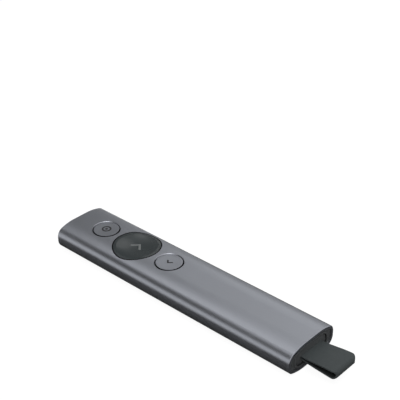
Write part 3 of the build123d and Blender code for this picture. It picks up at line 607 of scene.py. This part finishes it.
def strap_elastomer():
    """Moulded elastomer: matt grain, faint flow lines along the band, dust, and a polish where it is pinched.

    It is darkened by painted shade where the piece's own attribute says that little light comes.
    """
    skin = Finish("strap_elastomer", Specular_IOR_Level=0.25, Sheen_Weight=0.04, Sheen_Roughness=0.5)
    grain = skin.pattern(FINE_GRAIN, Size=0.00014)
    flow = skin.pattern(DRAWN_LINES, Cell=(0.012, 0.0012, 0.0012))
    cloud = skin.pattern(HANDLING, Size=0.008)
    pinch = skin.pattern(RUBBED_SPOT, Centre=(STRAP_PINCH * MM, 0.0, MID_LEVEL * MM), Radius=0.008)
    dust = skin.pattern(SPECKS, Cell=0.0014, Size=0.045, Share=0.35)
    # Painted shade: the colour darkens by up to three quarters where the strap's attribute says little light
    # comes.
    painted_shade = skin.attribute("painted_shade")
    colour = skin.shade((0.052, 0.061, 0.063), (grain, 0.12), (flow, 0.08), (cloud, 0.10), (dust, 0.6),
                        (painted_shade, -0.75))
    roughness = skin.sum(0.6, (pinch, -0.06), (cloud, 0.08), (painted_shade, 0.3))
    return skin.done(colour, roughness, skin.sum(0.0, (grain, 4.0), (flow, 6.0)))


def inner_moulding():
    """Glass-filled moulding inside the body: grain, with pale fibres lying in the direction of flow."""
    skin = Finish("inner_moulding")
    grain = skin.pattern(FINE_GRAIN, Size=0.0002)
    fibres = skin.pattern(DRAWN_LINES, Cell=(0.0015, 0.0002, 0.0002))
    colour = skin.shade((0.025, 0.025, 0.027), (grain, 0.15), (fibres, 0.35))
    return skin.done(colour, skin.sum(0.5, (fibres, 0.10)), skin.sum(0.0, (grain, 5.0), (fibres, 4.0)))


def board_laminate():
    """Green solder mask over copper tracks, along in some fields and across in others, with gold vias."""
    skin = Finish("board_laminate")
    tree = skin.tree
    field_size, track_pitch, track_share = 0.003, 0.0006, 0.45
    field = worked_vector(tree, "SNAP", skin.place, (field_size, field_size, 1.0))
    chance = tree.nodes.new("ShaderNodeTexWhiteNoise")
    tree.links.new(field, chance.inputs["Vector"])
    along = worked(tree, "GREATER_THAN", chance.outputs["Value"], 0.5)
    across = worked(tree, "SUBTRACT", 1.0, along)
    place = split(tree, skin.place)
    beside = skin.sum(0.0, (place["Y"], along), (place["X"], across))
    wave = worked(tree, "FRACT", worked(tree, "DIVIDE", beside, track_pitch))
    tracks = worked(tree, "LESS_THAN", wave, track_share)
    vias = skin.pattern(SPECKS, Cell=0.0028, Size=0.09, Share=0.6)
    green = skin.shade((0.012, 0.065, 0.030), (tracks, 0.35), (skin.pattern(HANDLING, Size=0.01), 0.15))
    colour = skin.mix(vias, green, (0.75, 0.56, 0.24, 1.0))
    feed(tree, vias, skin.surface.inputs["Metallic"])
    return skin.done(colour, skin.sum(0.32, (tracks, -0.05)), skin.sum(0.0, (tracks, 25.0), (vias, -20.0)))


def chip_moulding():
    """Epoxy of a chip's package: dull, with a fine sandy grain."""
    skin = Finish("chip_moulding")
    sand = skin.pattern(FINE_GRAIN, Size=0.00008)
    pits = skin.pattern(SPECKS, Cell=0.0005, Size=0.15, Share=0.3)
    colour = skin.shade((0.020, 0.020, 0.021), (sand, 0.3), (pits, 0.4))
    return skin.done(colour, skin.sum(0.58, (sand, 0.15)), skin.sum(0.0, (sand, 5.0), (pits, -4.0)))


def switch_moulding():
    """Small nylon mouldings of the switches: waxy, with soft clouds."""
    skin = Finish("switch_moulding")
    grain = skin.pattern(FINE_GRAIN, Size=0.00009)
    cloud = skin.pattern(HANDLING, Size=0.002)
    colour = skin.shade((0.035, 0.035, 0.040), (grain, 0.12), (cloud, 0.2))
    return skin.done(colour, skin.sum(0.48, (cloud, 0.12)), skin.sum(0.0, (grain, 2.5)))


def tinned_sheet():
    """Tinned steel: rolling lines along the body, dull bloom, and scratches from plugging in and out."""
    skin = Finish("tinned_sheet", Metallic=1.0)
    rolled = skin.pattern(DRAWN_LINES, Cell=(0.006, 0.00008, 0.00008))
    bloom = skin.pattern(HANDLING, Size=0.004)
    scratches = skin.pattern(DRAWN_LINES, Cell=(0.02, 0.0004, 0.0004))
    colour = skin.shade((0.62, 0.62, 0.60), (rolled, 0.12), (bloom, 0.12), (scratches, 0.10))
    roughness = skin.sum(0.31, (bloom, 0.16), (rolled, 0.10))
    return skin.done(colour, roughness, skin.sum(0.0, (rolled, 1.5), (scratches, 2.0)))


def spring_steel():
    """Bright cold-rolled strip, with lines and a slight straw tint in patches."""
    skin = Finish("spring_steel", Metallic=1.0)
    rolled = skin.pattern(DRAWN_LINES, Cell=(0.004, 0.00006, 0.00006))
    patches = eased(skin.tree, skin.pattern(HANDLING, Size=0.003), -0.05, 0.2)
    bright = skin.shade((0.55, 0.55, 0.56), (rolled, 0.10))
    colour = skin.mix(worked(skin.tree, "MULTIPLY", patches, 0.35), bright, (0.56, 0.50, 0.40, 1.0))
    return skin.done(colour, skin.sum(0.24, (rolled, 0.12)), skin.sum(0.0, (rolled, 1.0)))


def screw_steel():
    """Black-plated screws, worn to grey steel in specks."""
    skin = Finish("screw_steel", Metallic=1.0)
    worn = skin.pattern(SPECKS, Cell=0.0006, Size=0.3, Share=0.25)
    grain = skin.pattern(FINE_GRAIN, Size=0.0001)
    colour = skin.mix(worn, skin.shade((0.10, 0.10, 0.11), (grain, 0.2)), (0.36, 0.36, 0.37, 1.0))
    return skin.done(colour, skin.sum(0.38, (worn, -0.08), (grain, 0.1)), skin.sum(0.0, (grain, 2.0)))


def turned_steel():
    """Turned steel: rings of tool marks round the motor's axis."""
    skin = Finish("turned_steel", Metallic=1.0)
    axis = ((MOTOR_STATION - BODY_LENGTH / 2) * MM, 0.0, 0.0)
    ring_pitch = 0.00015
    flat = worked_vector(skin.tree, "MULTIPLY", skin.place, (1.0, 1.0, 0.0))
    away = worked_vector(skin.tree, "DISTANCE", flat, axis)
    rings = worked(skin.tree, "SINE", worked(skin.tree, "MULTIPLY", away, 2 * math.pi / ring_pitch))
    cloud = skin.pattern(HANDLING, Size=0.002)
    colour = skin.shade((0.50, 0.50, 0.50), (rings, 0.05), (cloud, 0.10))
    return skin.done(colour, skin.sum(0.26, (rings, 0.03), (cloud, 0.08)), skin.sum(0.0, (rings, 0.8)))


def cell_foil():
    """Laminated pouch foil: long soft wrinkles under a fine embossed grain."""
    skin = Finish("cell_foil", Metallic=1.0)
    wrinkles = skin.pattern(DRAWN_LINES, Cell=(0.006, 0.0025, 0.0025))
    emboss = skin.pattern(FINE_GRAIN, Size=0.0003)
    colour = skin.shade((0.68, 0.69, 0.70), (wrinkles, 0.10), (emboss, 0.05))
    return skin.done(colour, skin.sum(0.34, (emboss, 0.10)), skin.sum(0.0, (wrinkles, 60.0), (emboss, 5.0)))


def adhesive_foam():
    """Foam tape: open cells, darker inside."""
    skin = Finish("adhesive_foam")
    pores = skin.pattern(SPECKS, Cell=0.0003, Size=0.45, Share=0.8)
    cloud = skin.pattern(HANDLING, Size=0.005)
    colour = skin.shade((0.070, 0.070, 0.070), (pores, -0.5), (cloud, 0.2))
    return skin.done(colour, skin.sum(0.9, (cloud, 0.05)), skin.sum(0.0, (pores, -40.0)))


def tongue_moulding():
    """Smooth liquid-crystal polymer of the plug's and port's tongues, with flow marks along them."""
    skin = Finish("tongue_moulding")
    flow = skin.pattern(DRAWN_LINES, Cell=(0.005, 0.0004, 0.0004))
    grain = skin.pattern(FINE_GRAIN, Size=0.00008)
    colour = skin.shade((0.035, 0.035, 0.040), (flow, 0.3), (grain, 0.1))
    return skin.done(colour, skin.sum(0.46, (flow, 0.12)), skin.sum(0.0, (flow, 2.0), (grain, 1.5)))


def contact_plating():
    """Gold plate, wiped bright along the contacts and slightly coppery elsewhere."""
    skin = Finish("contact_plating", Metallic=1.0)
    wiped = skin.pattern(DRAWN_LINES, Cell=(0.003, 0.00008, 0.00008))
    cloud = eased(skin.tree, skin.pattern(HANDLING, Size=0.0015), -0.1, 0.25)
    gold = skin.shade((0.83, 0.62, 0.27), (wiped, 0.12))
    colour = skin.mix(worked(skin.tree, "MULTIPLY", cloud, 0.4), gold, (0.72, 0.46, 0.22, 1.0))
    return skin.done(colour, skin.sum(0.24, (wiped, 0.12)), skin.sum(0.0, (wiped, 1.0)))


def lasered_mark():
    """Mark burnt into the anodising: nearly black, hatched by the laser's passes."""
    skin = Finish("lasered_mark")
    hatch = skin.pattern(DRAWN_LINES, Cell=(0.002, 0.00006, 0.00006))
    grain = skin.pattern(FINE_GRAIN, Size=0.0001)
    colour = skin.shade((0.016, 0.016, 0.018), (hatch, 0.5), (grain, 0.2))
    return skin.done(colour, skin.sum(0.55, (hatch, 0.15)), skin.sum(0.0, (hatch, 3.0)))


def printed_mark():
    """Pale ink printed on the key: thin, slightly uneven, with the key's grain showing through."""
    skin = Finish("printed_mark")
    thin = skin.pattern(HANDLING, Size=0.0012)
    grain = skin.pattern(FINE_GRAIN, Size=0.0001)
    colour = skin.shade((0.155, 0.166, 0.166), (thin, 0.25), (grain, 0.15))
    return skin.done(colour, skin.sum(0.5, (thin, 0.10)), skin.sum(0.0, (grain, 2.0)))


# Each maker is named as its slot in the record.
SLOT_FINISHES = (
    anodised_shell, dark_moulding, key_moulding, soft_pad, strap_elastomer, inner_moulding, board_laminate,
    chip_moulding, switch_moulding, tinned_sheet, spring_steel, screw_steel, turned_steel, cell_foil,
    adhesive_foam, tongue_moulding, contact_plating)
FINISHES = {make.__name__: make() for make in SLOT_FINISHES}
LASERED = lasered_mark()
PRINTED = printed_mark()


def dress_nodes():
    """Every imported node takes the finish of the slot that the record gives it."""
    for row in frame["record"]["subparts"]:
        for slot in frame["nodes"][row["node"]].material_slots:
            slot.material = FINISHES[row["material_slot"]]


dress_nodes()


# ---- strap, pad, snap domes and marks, as surfaces of their own ----


def add_piece(name, points, finish, closed_rows=False, closed_ends=False):
    """Smooth mesh over a grid of points in millimetres, as rows of closed loops.

    `closed_rows` joins the last row to the first. `closed_ends` closes the first and last row with a fan
    of triangles from its mean point.
    """
    rows, columns = points.shape[:2]
    row, column = np.meshgrid(np.arange(rows if closed_rows else rows - 1), np.arange(columns), indexing="ij")
    row, column = row.ravel(), column.ravel()
    next_row, next_column = (row + 1) % rows, (column + 1) % columns
    corners = (row * columns + column, next_row * columns + column,
               next_row * columns + next_column, row * columns + next_column)
    faces = np.stack(corners, axis=1).tolist()
    vertices = points.reshape(-1, 3)
    if closed_ends:
        around = np.arange(columns)
        last = (rows - 1) * columns
        hubs = np.full(columns, len(vertices))
        faces += np.stack([hubs, around, np.roll(around, -1)], axis=1).tolist()
        faces += np.stack([hubs + 1, last + np.roll(around, -1), last + around], axis=1).tolist()
        vertices = np.concatenate([vertices, [points[0].mean(axis=0), points[-1].mean(axis=0)]])
    mesh = bpy.data.meshes.new(name)
    mesh.from_pydata((vertices * MM).tolist(), [], faces)
    mesh.polygons.foreach_set("use_smooth", np.ones(len(mesh.polygons), dtype=bool))
    mesh.materials.append(finish)
    mesh.update()
    piece = bpy.data.objects.new(name, mesh)
    bpy.context.scene.collection.objects.link(piece)
    return piece


def crown_level(inset, y):
    """Level of the body's crown, `inset` inside it: flat in the middle, then an arc down to each side."""
    past = np.maximum(np.abs(y) - CROWN_FLAT, 0.0)
    return BODY_HEIGHT - CROWN_RADIUS + np.sqrt((CROWN_RADIUS - inset) ** 2 - past**2)


def dish_level(x, y, dish):
    """Level of a button's dish at x, y from its middle: the crown less a bowl, as deep as 1 - r^2 / R^2."""
    radius, depth = dish
    share = (x**2 + y**2) / radius**2
    return crown_level(BUTTON_DROP, y) - BOWL_STEP - (depth - BOWL_STEP) * (1 - share)


def strap_line(start, half_start, inset, along):
    """Side view of the strap's loop, `inset` inside its outer face: out along the top, round and back.

    It leaves `start` at `half_start` above mid height, and comes back as far below it.
    The upper limb rises with 3 s^2 - 2 s^3, so it leaves the root and meets the fold level, and the lower
    one falls with s^(1/3), at once and then hardly more.
    """
    bend = (STRAP_TOP_RISE + STRAP_BOTTOM_DROP) / 2
    bend_x, bend_z = STRAP_ROOT + STRAP_REACH - bend, (STRAP_TOP_RISE - STRAP_BOTTOM_DROP) / 2
    x = start + (bend_x - start) * along
    opened = np.clip((x - max(start, STRAP_ROOT)) / (bend_x - max(start, STRAP_ROOT)), 0, 1)
    top = half_start + (STRAP_TOP_RISE - inset - half_start) * opened**2 * (3 - 2 * opened)
    low = -half_start - (STRAP_BOTTOM_DROP - inset - half_start) * np.cbrt(opened)
    turn = np.linspace(math.pi / 2, -math.pi / 2, FOLD_STEPS + 2)[1:-1]
    x = np.concatenate([x, bend_x + (bend - inset) * np.cos(turn), x[::-1]])
    z = np.concatenate([top, bend_z + (bend - inset) * np.sin(turn), low[::-1]])
    return np.stack([x, z], axis=1)


def strap_half_width(x):
    """Half the strap's width in plan: a straight taper whose free corners are quarter circles."""
    widened = STRAP_ROOT_WIDTH + (STRAP_END_WIDTH - STRAP_ROOT_WIDTH) * (x - STRAP_ROOT) / STRAP_REACH
    past = np.clip(x - (STRAP_ROOT + STRAP_REACH - STRAP_CORNER), 0, STRAP_CORNER)
    return np.maximum(widened, STRAP_ROOT_WIDTH) / 2 - STRAP_CORNER + np.sqrt(STRAP_CORNER**2 - past**2)


def pull_strap():
    """Pull loop: a flat band with rounded edges, carried round the side view's teardrop.

    Each section is a rectangle with quarter-circle corners: through the band it runs from the outer line
    to the inner one, and across it reaches the plan's half width. Each point carries an amount of painted
    shade,
    by how sheltered it is from the light: fully on the inner face, and on the outer one as far as the fold
    has turned it down.
    """
    along = np.linspace(0, 1, LIMB_STEPS)
    outer = strap_line(STRAP_ROOT - STRAP_ANCHOR, STRAP_ROOT_HEIGHT / 2, 0.0, along)
    inner = strap_line(STRAP_ROOT + STRAP_JOINED, STRAP_PARTING / 2, STRAP_BAND, along)
    quarter = np.linspace(0, math.pi / 2, BAND_CORNER_POINTS)
    angle = np.concatenate([quarter, quarter + math.pi / 2, quarter + math.pi, quarter + 1.5 * math.pi])
    side = np.repeat([1, -1, -1, 1], BAND_CORNER_POINTS)
    face = np.repeat([1, 1, -1, -1], BAND_CORNER_POINTS)
    through = face * (0.5 - STRAP_EDGE / STRAP_BAND) + STRAP_EDGE / STRAP_BAND * np.sin(angle)
    place = (outer + inner)[:, None] / 2 + (outer - inner)[:, None] * through[None, :, None]
    x, z = place[..., 0], place[..., 1]
    y = side * (strap_half_width(x) - STRAP_EDGE) + STRAP_EDGE * np.cos(angle)
    points = np.stack([x, y, MID_LEVEL + z], axis=-1)[:, ::-1]
    piece = add_piece("pull_strap", points, FINISHES["strap_elastomer"], closed_rows=True)
    # Painted shade for each point, by which the strap's finish darkens its colour.
    turned_down = np.concatenate([np.zeros(LIMB_STEPS), np.linspace(0, 1, FOLD_STEPS), np.ones(LIMB_STEPS)])
    outward = np.sin(angle)
    painted_shade = np.where(outward > 0, FOLD_SHADE * turned_down[:, None] * outward, -outward)[:, ::-1]
    carried = piece.data.attributes.new("painted_shade", "FLOAT", "POINT")
    carried.data.foreach_set("value", painted_shade.ravel().astype(np.float32))
    return piece


def rounded_walk(length, width, corner):
    """Walk round a rectangle with round corners, as arc centres and outward directions.

    A quarter turn at each corner is followed by a run along the next side, so that the rectangle inset by
    `a` is centre + (corner - a) * direction.
    """
    centres, directions = [], []
    signs = np.array([(1, 1), (-1, 1), (-1, -1), (1, -1)])
    hubs = signs * (length / 2 - corner, width / 2 - corner)
    for start, hub, steps in zip(range(4), hubs, PAD_SIDE_POINTS):
        angle = np.linspace(start, start + 1, PAD_CORNER_POINTS) * math.pi / 2
        turn = np.stack([np.cos(angle), np.sin(angle)], axis=1)
        share = np.linspace(0, 1, steps)[1:-1, None]
        centres += [np.tile(hub, (PAD_CORNER_POINTS, 1)), hub + (hubs[(start + 1) % 4] - hub) * share]
        directions += [turn, np.tile(turn[-1], (steps - 2, 1))]
    return np.concatenate(centres), np.concatenate(directions)


def moulded_pad():
    """Soft pad let into the back: rings from the middle out, round the edge and back over its inner face.

    The outer face follows the body's underside, which is its crown turned over. The edge is a quarter circle.
    """
    centre, direction = rounded_walk(PAD_LENGTH, PAD_WIDTH, PAD_CORNER)
    out = np.linspace(PAD_FIRST_RING, PAD_FACE_LAST_RING, PAD_FACE_RINGS)
    turn = np.linspace(0, math.pi / 2, PAD_EDGE_RINGS)
    back = np.linspace(1, PAD_FIRST_RING, PAD_BACK_RINGS)
    share = np.concatenate([out, np.ones(PAD_EDGE_RINGS), back])
    inset = np.concatenate([np.full(PAD_FACE_RINGS, PAD_EDGE), PAD_EDGE * (1 - np.sin(turn)),
                            np.zeros(PAD_BACK_RINGS)])
    rise = np.concatenate([np.zeros(PAD_FACE_RINGS), PAD_EDGE * (1 - np.cos(turn)),
                           np.full(PAD_BACK_RINGS, PAD_THICKNESS)])
    plan = (centre + (PAD_CORNER - inset[:, None, None]) * direction) * share[:, None, None]
    x, y = plan[..., 0] + PAD_MIDDLE - BODY_LENGTH / 2, plan[..., 1]
    z = BODY_HEIGHT - crown_level(0.0, y) + rise[:, None]
    points = np.stack([x, y, z], axis=-1)[:, ::-1]
    return add_piece("moulded_pad", points, FINISHES["soft_pad"], closed_ends=True)


def circle_angles():
    """Angles of a circle's points, whose last is joined to the first."""
    return np.linspace(0, 2 * math.pi, CIRCLE_POINTS + 1)[None, :-1]


def snap_dome(key, station):
    """Spring dome under a switch's stem, which a press flattens, made here as it stands before a press: rings
    out over it and back in below.

    It is level out to the crown's radius, and falls from there to the rim with 1 - 3 s^2 + 2 s^3.
    """
    node = f"{key}_switch_dome"
    low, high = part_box(node)
    floor, rise = low[2] / MM, (high[2] - low[2]) / MM
    radius = np.concatenate([DOME_CROWN_RINGS, np.linspace(DOME_CROWN_RADIUS, DOME_RADIUS, DOME_SIDE_RINGS)])
    fallen = np.clip((radius - DOME_CROWN_RADIUS) / (DOME_RADIUS - DOME_CROWN_RADIUS), 0, 1)
    share = 1 - fallen**2 * (3 - 2 * fallen)
    inner_radius = radius * (DOME_RADIUS - DOME_SHEET) / DOME_RADIUS
    r = np.concatenate([radius, inner_radius[::-1]])[:, None]
    z = floor + np.concatenate([rise * share, (rise - DOME_SHEET) * share[::-1]])[:, None]
    angle = circle_angles()
    x = station - BODY_LENGTH / 2
    plan_x, plan_y = x + r * np.cos(angle), r * np.sin(angle)
    points = np.stack([plan_x, plan_y, np.broadcast_to(z, plan_x.shape)], axis=-1)
    piece = add_piece(f"{key}_snap_dome", points, FINISHES["spring_steel"], closed_ends=True)
    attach(piece, "housing")
    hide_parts(node)
    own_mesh(piece)


def on_dish(plan_x, plan_y, lift, station, dish):
    """Points over a button's dish, from places in plan measured from its middle."""
    z = dish_level(plan_x, plan_y, dish) + lift
    return np.stack([plan_x + station - BODY_LENGTH / 2, plan_y, z], axis=-1)


def round_mark(name, radii, closed_rows):
    """Ring, or dot where the rows aren't closed: circles out over the face and back in below it."""
    radius = np.concatenate([radii, radii[::-1]])[:, None]
    lift = np.repeat([MARK_PROUD, MARK_PROUD - MARK_DEPTH], len(radii))[:, None]
    angle = circle_angles()
    x, y = radius * np.cos(angle) + POINTER_MARK[0], radius * np.sin(angle) + POINTER_MARK[1]
    points = on_dish(x, y, lift, POINTER_STATION, POINTER_DISH)
    piece = add_piece(name, points, LASERED, closed_rows=closed_rows, closed_ends=not closed_rows)
    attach(piece, "pointer_key")


def arrow_mark(name, station, dish, heading, tip, size, finish, body):
    """Arrowhead across the body: |x| + y is constant along each line, moved out and in by half the stroke.

    Rows run from one arm's end over the point to the other's. Each is a loop, over the face and back below.
    The point looks to +Y where `heading` is 1, and to -Y where it is -1.
    """
    span, stroke = size
    across = np.linspace(stroke / 2, -stroke / 2, STROKE_POINTS)
    across = np.concatenate([across, across[::-1]])[None]
    lift = np.repeat([MARK_PROUD, MARK_PROUD - MARK_DEPTH], STROKE_POINTS)[None]
    x = np.linspace(-1, 1, ARROW_ROWS)[:, None] * (span + across / math.sqrt(2))
    y = across * math.sqrt(2) - np.abs(x)
    points = on_dish(tip[0] + x * heading, tip[1] + y * heading, lift, station, dish)
    piece = add_piece(name, points[:, ::-1], finish, closed_ends=True)
    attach(piece, body)


def lay_soft_pieces():
    """The strap goes out with the receiver, and the pad stays in the body's back."""
    strap = pull_strap()
    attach(strap, "receiver")
    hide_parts("receiver_strap")
    pad = moulded_pad()
    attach(pad, "housing")
    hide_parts("back_pad")


def fit_snap_domes():
    """One dome under each button."""
    for key, station in (("pointer", POINTER_STATION), ("next", NEXT_STATION), ("back", BACK_STATION)):
        snap_dome(key, station)


def mark_keys():
    """Each button's sign: ring and dot, an arrow one way, and an arrow the other way."""
    round_mark("pointer_ring", RING_RADII, closed_rows=True)
    round_mark("pointer_dot", DOT_RADII, closed_rows=False)
    arrow_mark("next_arrow", NEXT_STATION, NEXT_DISH, 1, NEXT_TIP, NEXT_ARROW, PRINTED, "next_key")
    arrow_mark("back_arrow", BACK_STATION, BACK_DISH, -1, BACK_TIP, BACK_ARROW, LASERED, "back_key")


lay_soft_pieces()
fit_snap_domes()
mark_keys()


# ---- view transform ----

bpy.context.scene.view_settings.view_transform = "Standard"
